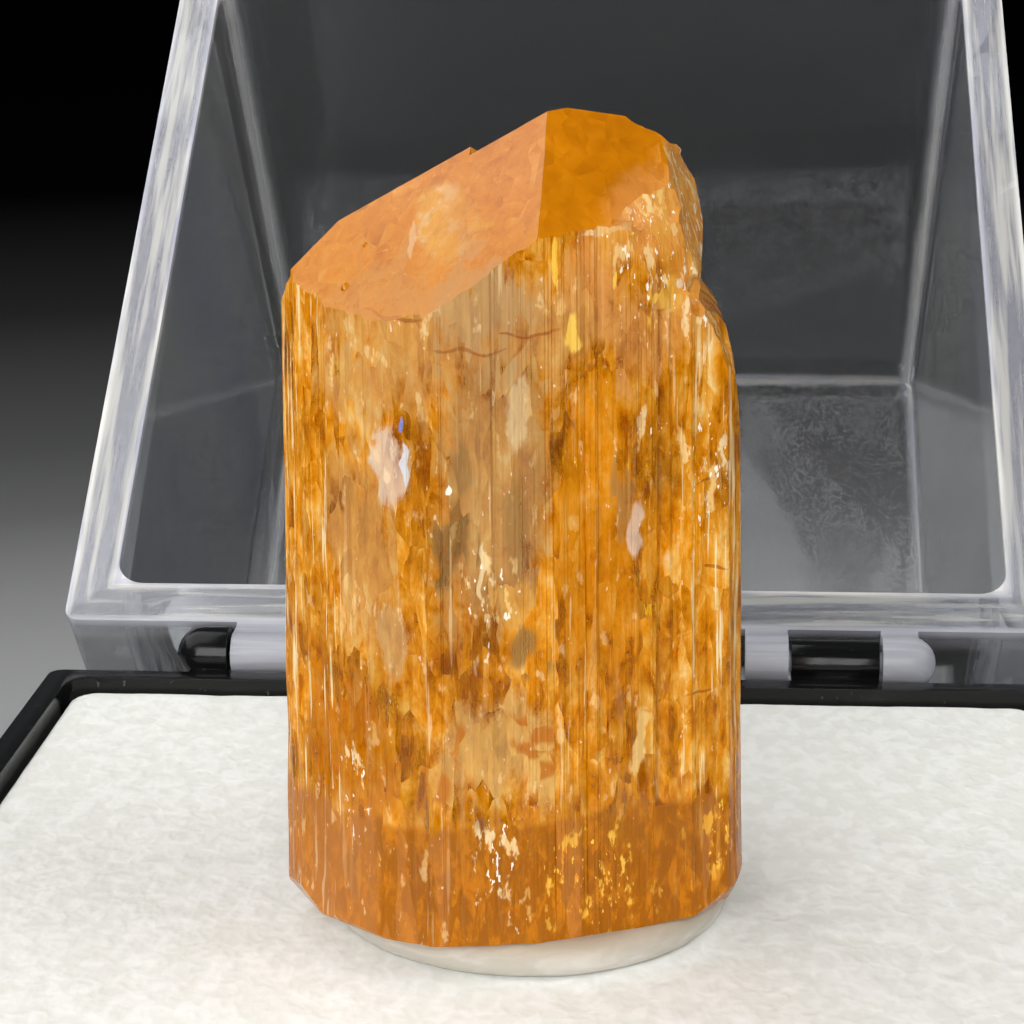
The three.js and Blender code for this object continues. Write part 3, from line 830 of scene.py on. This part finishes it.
    def add_top_faces(self):
        """The dull left face with its cracked oval, the clear right face and the broken shoulder. The
        left face's tint is partly a painted haze of reflected light.
        """
        f = self.f
        # Painted reflection, in part: the left face turns from clay to a paler rose towards the top, a
        # haze of reflected light
        self.tint(self.left_top * 0.55, f.mix((self.z - TOP_LOW).between(0, 2.5), CLAY, ROSE))
        oval = (self.within(self.here, CRACKED_OVAL) + self.ragged * 0.3).between(0, 0.3)
        cracked = self.left_top * oval * (0.2 + (OVAL_BRIGHT - self.x).between(-0.4, 0.6) * 0.35)
        self.tint(cracked, f.mix((self.flecks - 0.42).between(0, 0.25) * 0.7, GOLD, PALE))
        self.tint(self.right_top * 0.95 * (1 - self.broken), f.mix(self.mist, FOOT, ORANGE))
        corner = (self.within(self.here, PALE_CORNER) + 2.5 + self.ragged * 2).between(0, 1.6)
        self.tint(self.right_top * corner * 0.5, PEACH)
        self.cloud_over((self.foot * 0.8).max(self.up * 0.75), 0.8)
        self.tint(self.broken * 0.6, f.mix(self.shards[1], PEACH, GOLD))
        self.cloud_over(self.broken, 0.84)

    def add_flecks(self):
        """Pale flakes all over, and small painted highlights, near-white and yellow in the golden foot,
        where the crystal is most cracked.
        """
        f = self.f
        lively = self.broken
        for ellipse in FLECK_AND_GLINT_PLACES:
            lively = lively.max((self.within(self.here, ellipse) + 0.1).between(0, 0.5) * self.front)
        flakes = (self.flecks - 0.6 + lively * 0.05).between(0, 0.08) * (0.4 + lively * 0.35)
        flakes = flakes * self.side
        pale, warm = f.mix(self.shards[0], STRAW, PALE), f.mix(self.shards[1], AMBER, YELLOW)
        self.tint(flakes, f.mix(self.golden, pale, warm))
        faces = self.side + self.left_top * 0.3
        # Painted highlights: small bright spots, near-white, yellow in the foot's golden part
        painted_glints = (self.sugar - 0.7 + lively * 0.06).between(0, 0.03) * (0.4 + lively * 0.5) * faces
        self.tint(painted_glints, f.mix(self.golden, PAINTED_GLINT, YELLOW))
        self.cloud = (self.cloud + painted_glints * 0.5 + flakes * 0.3).max(0.26).min(0.92)


def topaz_finish():
    """Clear orange crystal with cloudy, fractured parts: refraction mixed with a scattering share."""
    f = Finish("imperial_topaz")
    seen = TopazPattern(f)
    ripples = f.bump(seen.threads * 0.4 + seen.sugar * (0.15 + seen.broken * 0.9), 0.045, 0.7)
    cloudy = f.principled(
        seen.colour, 0.07 + seen.broken * 0.16, IOR=TOPAZ_IOR, Normal=ripples, Specular_IOR_Level=0.05,
    )
    clear = f.principled(
        (1, 1, 1), 0.02, IOR=TOPAZ_IOR, Transmission_Weight=1.0, Normal=ripples, Specular_IOR_Level=0.2,
    )
    surface = f.node("ShaderNodeMixShader", None, {0: seen.cloud, 1: clear, 2: cloudy})
    return f.surface(surface, f.absorption(*TOPAZ_ABSORPTION))


def air_film_finish():
    """The face of a crack that holds air, seen from inside the crystal."""
    f = Finish("air_film")
    return f.surface(f.node("ShaderNodeBsdfGlass", None, {
        "Color": (1, 1, 1), "Roughness": 0.02, "IOR": 1 / TOPAZ_IOR,
    }))


def inclusion_finish(name, one, other, roughness):
    f = Finish(name)
    grain = f.grain((3, 3, 1.2), 4, 0.65)
    colour = f.mix(grain.between(0.35, 0.65), one, other)
    return f.surface(f.principled(colour, roughness + grain * 0.1, IOR=1.2))


def clear_lid_finish():
    """Clear moulded polystyrene: its rim, inner edges and hinge lugs look milky. On the rim, its edge
    lines, the inner corners and the side walls, the milky share is partly real haze and partly painted
    light, for the light these parts gather.
    """
    f = Finish("clear_polystyrene")
    x, y, z = f.axes(f.place(LID_AXIS, turn=(LID_OPEN, 0, 0)))
    marks = f.grain((0.22, 0.22, 0.22), 3, 0.6)
    sideways, depthwise = x.abs(), (y + LID_MIDDLE).abs()
    across = sideways.max(depthwise) - LID_WALL
    along_rim = f.node("ShaderNodeCombineXYZ", None, {0: across * 2.2, 1: (x + y) * 0.1})
    streaks = f.noise(along_rim, 1.0, 3, 0.6)
    # Painted light, in part: the rim band's milky share and pale lines along its edges stand for light
    # the rim gathers, over some real haze
    rim = (LID_RIM - z).between(0, 0.5)
    painted_rim_highlights = rim * (across.abs() - 0.5).between(0, 0.2)

    inner = LID_INNER - z * LID_DRAFT
    from_side, from_wall, from_top = sideways - inner, depthwise - inner, z - LID_CEILING
    seam = (from_side ** 2 + from_top ** 2).min(from_wall ** 2 + from_top ** 2)
    seam = seam.min((from_side + LID_CORNER) ** 2 + (from_wall + LID_CORNER) ** 2) ** 0.5
    # Painted light along the inner corners: a pale line where the plastic gathers light
    seam = (0.5 - seam + (marks - 0.5) * 0.5).between(0, 0.45)
    # Side walls: a little milky share, partly real haze, partly painted reflection
    wall = (sideways - LID_INNER + 0.59).between(0, 0.3) * (z * 2).between(0, 1)
    lugs = (LID_LUG - (y * y + z * z) ** 0.5).between(0, 0.4)

    clear = f.principled(
        (0.91, 0.93, 0.94), 0.02 + (marks - 0.55).between(0, 0.25) * 0.05,
        IOR=PLASTIC_IOR, Transmission_Weight=1.0,
    )
    tint = f.mix(streaks.between(0.4, 0.6), tone(212, 212, 226), tone(238, 236, 230))
    tint = f.mix(lugs, tint, tone(174, 175, 183))
    milky = f.principled(tint, 0.2 + lugs * 0.4, IOR=PLASTIC_IOR)
    # Painted light: the side rims are milkier, so brighter, than the front and back rims
    painted_side_rim_light = (sideways - depthwise).between(0, 0.5) * 0.16
    share = rim * (0.14 + painted_side_rim_light + streaks.between(0.42, 0.62) * 0.24)
    share = share + painted_rim_highlights * 0.35 + seam * 0.28 + wall * 0.12 + lugs * 0.3
    share = 0.002 + share + (marks - 0.5).between(0, 0.4) * 0.006
    surface = f.node("ShaderNodeMixShader", None, {0: share, 1: clear, 2: milky})
    return f.surface(surface, f.absorption(*PLASTIC_ABSORPTION))


def black_finish():
    f = Finish("black_polystyrene")
    scuffs = f.grain((0.5, 0.5, 2.2), 6, 0.65)
    dust = (f.grain((5, 5, 5), 3, 0.7) - 0.66).between(0, 0.05)
    colour = f.mix(dust * 0.5, tone(16, 17, 16), tone(110, 112, 110))
    return f.surface(f.principled(
        colour, 0.14 + (scuffs - 0.5).between(0, 0.3) * 0.22, IOR=1.55, Specular_IOR_Level=0.22,
        Normal=f.bump(scuffs, 0.01, 0.3),
    ))


def foam_finish():
    f = Finish("white_foam")
    grain = f.grain((2.2, 1.5, 2.0), 1, 0.5, 0.3, turn=(0, 0, 0.3))
    fine = f.grain((6, 4.5, 6), 1, 0.5)
    colour = f.mix((grain - 0.4).between(0, 0.25), tone(238, 238, 231), tone(246, 246, 241))
    lumpy = f.bump(grain + fine * 0.2, 0.12, 0.4)
    return f.surface(f.principled(colour, 0.85, Specular_IOR_Level=0.3, Normal=lumpy))


def putty_finish():
    f = Finish("white_putty")
    smears = f.grain((0.6, 0.6, 1.8), 4, 0.55, 0.6)
    fine = f.grain((4, 4, 4), 3, 0.6)
    height = f.axes(f.place())[2] - putty_low[2]
    colour = f.mix((smears - 0.35).between(0, 0.35), tone(182, 175, 163), tone(206, 200, 190))
    # Painted shade: warmer and darker towards the top, next to the crystal, tinted with the crystal's
    # orange light
    colour = f.mix((height - 0.35).between(0, 0.5) * 0.6, colour, tone(160, 136, 104))
    smeared = f.bump(smears * 0.7 + fine * 0.3, 0.06, 0.5)
    return f.surface(f.principled(colour, 0.5 + fine * 0.15, Normal=smeared))


def floor_finish():
    """A painted pool of light: pale near the specimen and falling off into the dark of the room."""
    f = Finish("floor_with_painted_light")
    x, y, z = f.axes(f.place(PAINTED_LIGHT_POOL_CENTRE))
    away = (x * x + y * y) ** 0.5 / PAINTED_LIGHT_POOL_RADIUS
    grain = f.grain((0.03, 0.03, 0.03), 2, 0.5)
    colour = f.node("ShaderNodeValToRGB", {"stops": [(k, (v, v, v)) for k, v in PAINTED_LIGHT_FALLOFF]}, {0: away})
    return f.surface(f.principled(colour, 0.7 + grain * 0.1, Specular_IOR_Level=0.0))


# ---- what the crystal holds

# A way out of the crystal that runs along no edge
LEAVING = Vector((0.11, 0.07, 0.99))


def is_inside(tree, point, margin):
    """Whether a point, from the crystal's foot, lies in the crystal and this far from its surface."""
    at = Vector((point + CRYSTAL_FOOT) * MM)
    if tree.find_nearest(at)[3] < margin * MM:
        return False
    normal = tree.ray_cast(at, LEAVING)[1]
    return normal is not None and normal.dot(LEAVING) > 0


def scatter_places(crystal, count, margin, room, seed, centre, spread):
    """Random places that leave room for a plate's width all round and its height above and below."""
    mesh = crystal.data
    tree = BVHTree.FromPolygons([v.co for v in mesh.vertices], [p.vertices for p in mesh.polygons])
    rng = np.random.default_rng(seed)
    places = []
    while len(places) < count:
        point = centre + rng.uniform(-1, 1, 3) * spread
        if all(is_inside(tree, point + [0, 0, rise], margin) for rise in (-room, 0, room)):
            places.append(point)
    return np.array(places)


PLATE_INPUTS = {
    "Geometry": "Geometry", "Smallest": "Float", "Largest": "Float", "Thickness": "Float",
    "Stretch": "Float", "Lean": "Float", "Upright": "Float", "Sides": "Int", "Seed": "Int",
    "Finish": "Material",
}


def plate_tree():
    """Scatters thin closed plates on points: turned, stretched and sized at random."""
    tree = bpy.data.node_groups.new("scattered_plates", "GeometryNodeTree")
    for name, kind in PLATE_INPUTS.items():
        tree.interface.new_socket(name, in_out="INPUT", socket_type="NodeSocket" + kind)
    tree.interface.new_socket("Geometry", in_out="OUTPUT", socket_type="NodeSocketGeometry")
    given = tree.nodes.new("NodeGroupInput").outputs
    node = partial(add_node, tree)

    def random_number(low, high, extra):
        seed = node("FunctionNodeIntegerMath", {"operation": "ADD"}, {0: given["Seed"], 1: extra})
        return node("FunctionNodeRandomValue", {"data_type": "FLOAT"}, {2: low, 3: high, 8: seed}, 1)

    def calculated(operation, one, other):
        return node("ShaderNodeMath", {"operation": operation}, {0: one, 1: other})

    dots = node("GeometryNodeMeshToPoints", None, {"Mesh": given["Geometry"]})
    sides = {"Vertices": given["Sides"], "Radius": 1.0, "Depth": 1.0}
    plate = node("GeometryNodeMeshCylinder", None, sides)
    size = random_number(given["Smallest"], given["Largest"], 1)
    tall = calculated("MULTIPLY", size, random_number(1.0, given["Stretch"], 2))
    scale = node("ShaderNodeCombineXYZ", None, {0: size, 1: tall, 2: given["Thickness"]})
    lean_back = calculated("MULTIPLY", given["Lean"], -1.0)
    tip = calculated("ADD", given["Upright"], random_number(lean_back, given["Lean"], 3))
    roll = random_number(lean_back, given["Lean"], 4)
    turn = node("ShaderNodeCombineXYZ", None, {0: tip, 1: roll, 2: random_number(0.0, 2 * math.pi, 5)})
    placed = node("GeometryNodeInstanceOnPoints", None, {
        "Points": dots, "Instance": plate, "Rotation": turn, "Scale": scale,
    })
    real = node("GeometryNodeRealizeInstances", None, {"Geometry": placed})
    done = node("GeometryNodeSetMaterial", None, {"Geometry": real, "Material": given["Finish"]})
    tree.links.new(done, tree.nodes.new("NodeGroupOutput").inputs[0])
    return tree


def scattered_plates(tree, name, places, values):
    """One piece of thin plates at these places, with values for the tree's inputs in their order."""
    made = mesh_object(name, places + CRYSTAL_FOOT, [])
    grow = made.modifiers.new("plates", "NODES")
    grow.node_group = tree
    sockets = [item for item in tree.interface.items_tree if item.in_out == "INPUT"]
    for socket, value in zip(sockets[1:], values):
        grow[socket.identifier] = value
    settle(made)
    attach(made, "base")


# Name and finish; how many, how far inside the skin and how much room above and below; the plates'
# smallest and largest radius and thickness; their stretch, lean, turn and sides
ON_EDGE = math.pi / 2
INCLUSIONS = [
    ("upright_cracks", "air", (130, 0.7, 1.4), (0.08, 0.4, 0.02), (3.5, 0.4, ON_EDGE, 7)),
    ("level_cracks", "air", (50, 0.8, 0.3), (0.1, 0.5, 0.02), (1.6, 0.35, 0.0, 9)),
    ("glint_flakes", "air", (260, 0.32, 0.1), (0.03, 0.14, 0.012), (2.0, 1.4, ON_EDGE, 5)),
    ("healed_veils", "veil", (260, 0.42, 1.0), (0.03, 0.2, 0.015), (5.0, 0.25, ON_EDGE, 8)),
    ("growth_sheets", "gold", (700, 0.45, 1.5), (0.03, 0.25, 0.015), (6.0, 0.15, ON_EDGE, 8)),
    ("rust_films", "rust", (26, 0.6, 0.2), (0.06, 0.25, 0.012), (2.2, 0.3, 0.3, 6)),
]
# Centre and half size of the blocks in which they are scattered
WHOLE_CRYSTAL = (0, 0, 9), (5.5, 4.5, 9.5)
RUST_VEIL = (0, -1.5, 13.6), (2.4, 2.5, 0.9)


def make_inclusions(crystal):
    """Cracks, veils, sheets and films, each set with seeds of its own."""
    tree = plate_tree()
    finishes = {
        "air": air_film_finish(),
        "veil": inclusion_finish("healed_veil", SILVER, PALE, 0.5),
        "rust": inclusion_finish("rust_film", RUST, DEEP, 0.6),
        "gold": inclusion_finish("growth_sheet", ORANGE, GOLD, 0.3),
    }
    for k, (name, finish, room, sizes, shape) in enumerate(INCLUSIONS):
        block = RUST_VEIL if finish == "rust" else WHOLE_CRYSTAL
        places = scatter_places(crystal, *room, 2 * k + 3, *block)
        sizes = [size * MM for size in sizes]
        scattered_plates(tree, name, places, [*sizes, *shape, 2 * k + 2, finishes[finish]])


# ---- foam and putty

def make_foam():
    """The foam block: rounded corners and upper edges, and a softly lumpy top."""
    half_side = (foam_high[0] - foam_low[0]) / 2 - FOAM_MARGIN
    inner = half_side - FOAM_CORNER
    square = square_grid(half_side, FOAM_POINTS)
    over = np.maximum(np.abs(square) - inner, 0)
    reach = np.hypot(*over.T)
    pull = np.where(reach > FOAM_CORNER, FOAM_CORNER / np.maximum(reach, 1e-9), 1.0)
    square = np.where(over > 0, np.sign(square) * (inner + over * pull[:, None]), square)
    from_corner = np.where(reach > 0, FOAM_CORNER - reach * pull, FOAM_CORNER)
    from_edge = np.minimum((half_side - np.abs(square)).min(axis=1), from_corner)
    flat = np.insert(square, 2, 0, axis=1)
    lumps = SMALL_LUMPS * swells(flat * [1, 0.8, 1], 0.8, 2, 3) + LARGE_LUMPS * swells(flat, 5.0, 2, 8)
    short = np.maximum(FOAM_ROLL - from_edge, 0)
    fall = FOAM_ROLL - np.sqrt(np.maximum(FOAM_ROLL ** 2 - short ** 2, 0))
    from_putty = np.hypot(*(square - (putty_low + putty_high)[:2] / 2).T)
    lively = smooth(np.clip((from_putty - PRESSED_RADIUS) / PRESSED_FADE, 0, 1))
    top = foam_high[2] + (lumps - FOAM_SINK) * lively - fall
    sheet = np.column_stack([square, np.minimum(top, foam_high[2])])
    made = sheet_block("soft_foam_pad", sheet, lambda rim: rim * [1, 1, 0] + [0, 0, foam_low[2]])
    crease(made, degrees=50)
    return made


def make_putty():
    """A pad of putty pressed out by the crystal, with a soft uneven edge."""
    centre = (putty_low + putty_high) / 2
    radius = (putty_high[0] - putty_low[0]) / 2
    thick = putty_high[2] - putty_low[2]
    points = []
    angles = np.linspace(0, 2 * np.pi, PUTTY_POINTS, endpoint=False)
    circle = np.column_stack([np.cos(angles), np.sin(angles), np.zeros(PUTTY_POINTS)])
    wobble = 1 - PUTTY_WOBBLE * (1 + swells(circle * 1.5, 1.0, 3, 4)) * 1.2
    for k in range(PUTTY_RINGS + 1):
        a = -np.pi / 2 + np.pi * k / PUTTY_RINGS
        lean = PUTTY_LEAN * thick * (1 - math.cos(a))
        r = radius * wobble - lean
        z = putty_low[2] + thick * (0.5 + 0.5 * math.sin(a))
        points.append(centre * [1, 1, 0] + circle * r[:, None] + [0, 0, z])
    faces = tube_faces(PUTTY_RINGS + 1, PUTTY_POINTS)
    made = mesh_object("pressed_putty", np.concatenate(points), faces)
    crease(made, degrees=60)
    return made


def softened(name, node, width):
    """A CAD node's shape with its sharp edges eased, as moulded plastic has them."""
    made = reshaped(linked(name, frame["nodes"][node].data.copy()), join_triangles)
    made.data.materials.clear()
    ease = made.modifiers.new("edges", "BEVEL")
    ease.width = width * MM
    ease.segments = 3
    ease.limit_method = "ANGLE"
    ease.angle_limit = math.radians(40)
    ease.use_clamp_overlap = True
    settle(made)
    crease(made, degrees=35)
    return made


# ---- stage

def area_light(name, at, size, radiance):
    data = bpy.data.lights.new(name, "AREA")
    data.shape = "RECTANGLE"
    data.size, data.size_y = size[0] * MM, size[1] * MM
    data.energy = radiance * math.pi * data.size * data.size_y
    made = linked(name, data)
    made.location = Vector(at) * MM
    made.rotation_euler = (Vector(at) - Vector(LIGHT_AIM)).to_track_quat("Z", "Y").to_euler()
    made.visible_camera = False


def make_camera():
    data = bpy.data.cameras.new("camera")
    data.sensor_width = SENSOR_WIDTH
    data.lens = FOCAL_LENGTH / PICTURE_WIDTH * SENSOR_WIDTH
    data.clip_start, data.clip_end = 0.001, 20
    yaw, pitch, roll = (math.radians(a) for a in CAMERA_TURN)
    turn = Matrix.Rotation(-yaw, 4, "Z") @ Matrix.Rotation(math.pi / 2 - pitch, 4, "X")
    place = Vector(CAMERA_PLACE) + Vector((0, 0, foam_high[2]))
    made = linked("camera", data)
    made.matrix_world = Matrix.Translation(place * MM) @ turn @ Matrix.Rotation(roll, 4, "Z")
    bpy.context.scene.camera = made


def make_stage():
    r, level = FLOOR_REACH, FLOOR_LEVEL
    corners = [(-r, -r, level), (r, -r, level), (r, r, level), (-r, r, level)]
    floor = mesh_object("floor", corners, [(0, 1, 2, 3)])
    floor.data.materials.append(floor_finish())
    world = bpy.data.worlds.new("room")
    world.use_nodes = True
    background = world.node_tree.nodes["Background"].inputs
    background["Color"].default_value = (*ROOM_COLOUR, 1)
    background["Strength"].default_value = ROOM_STRENGTH
    bpy.context.scene.world = world
    for light in LIGHTS:
        area_light(*light)


def set_render_style():
    scene = bpy.context.scene
    scene.view_settings.view_transform = "Standard"
    scene.view_settings.look = "None"
    for setting, value in LIGHT_PATHS.items():
        setattr(scene.cycles, setting, value)


def dress(piece, finish, node, body):
    """Gives a piece its finish and lets it stand for a CAD node, which has the same finish."""
    for made in (piece, frame["nodes"][node]):
        made.data.materials.clear()
        made.data.materials.append(finish)
    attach(piece, body)
    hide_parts(node)


make_camera()
make_stage()
set_render_style()

crystal = make_crystal()
dress(crystal, topaz_finish(), "topaz_crystal", "base")
make_inclusions(crystal)
foam = make_foam()
dress(foam, foam_finish(), "foam_insert", "base")
dress(make_putty(), putty_finish(), "mounting_putty", "base")
tray = softened("moulded_tray", "specimen_tray", width=0.12)
dress(tray, black_finish(), "specimen_tray", "base")
lid = softened("clear_lid", "hinged_lid", width=0.22)
dress(lid, clear_lid_finish(), "hinged_lid", "lid")
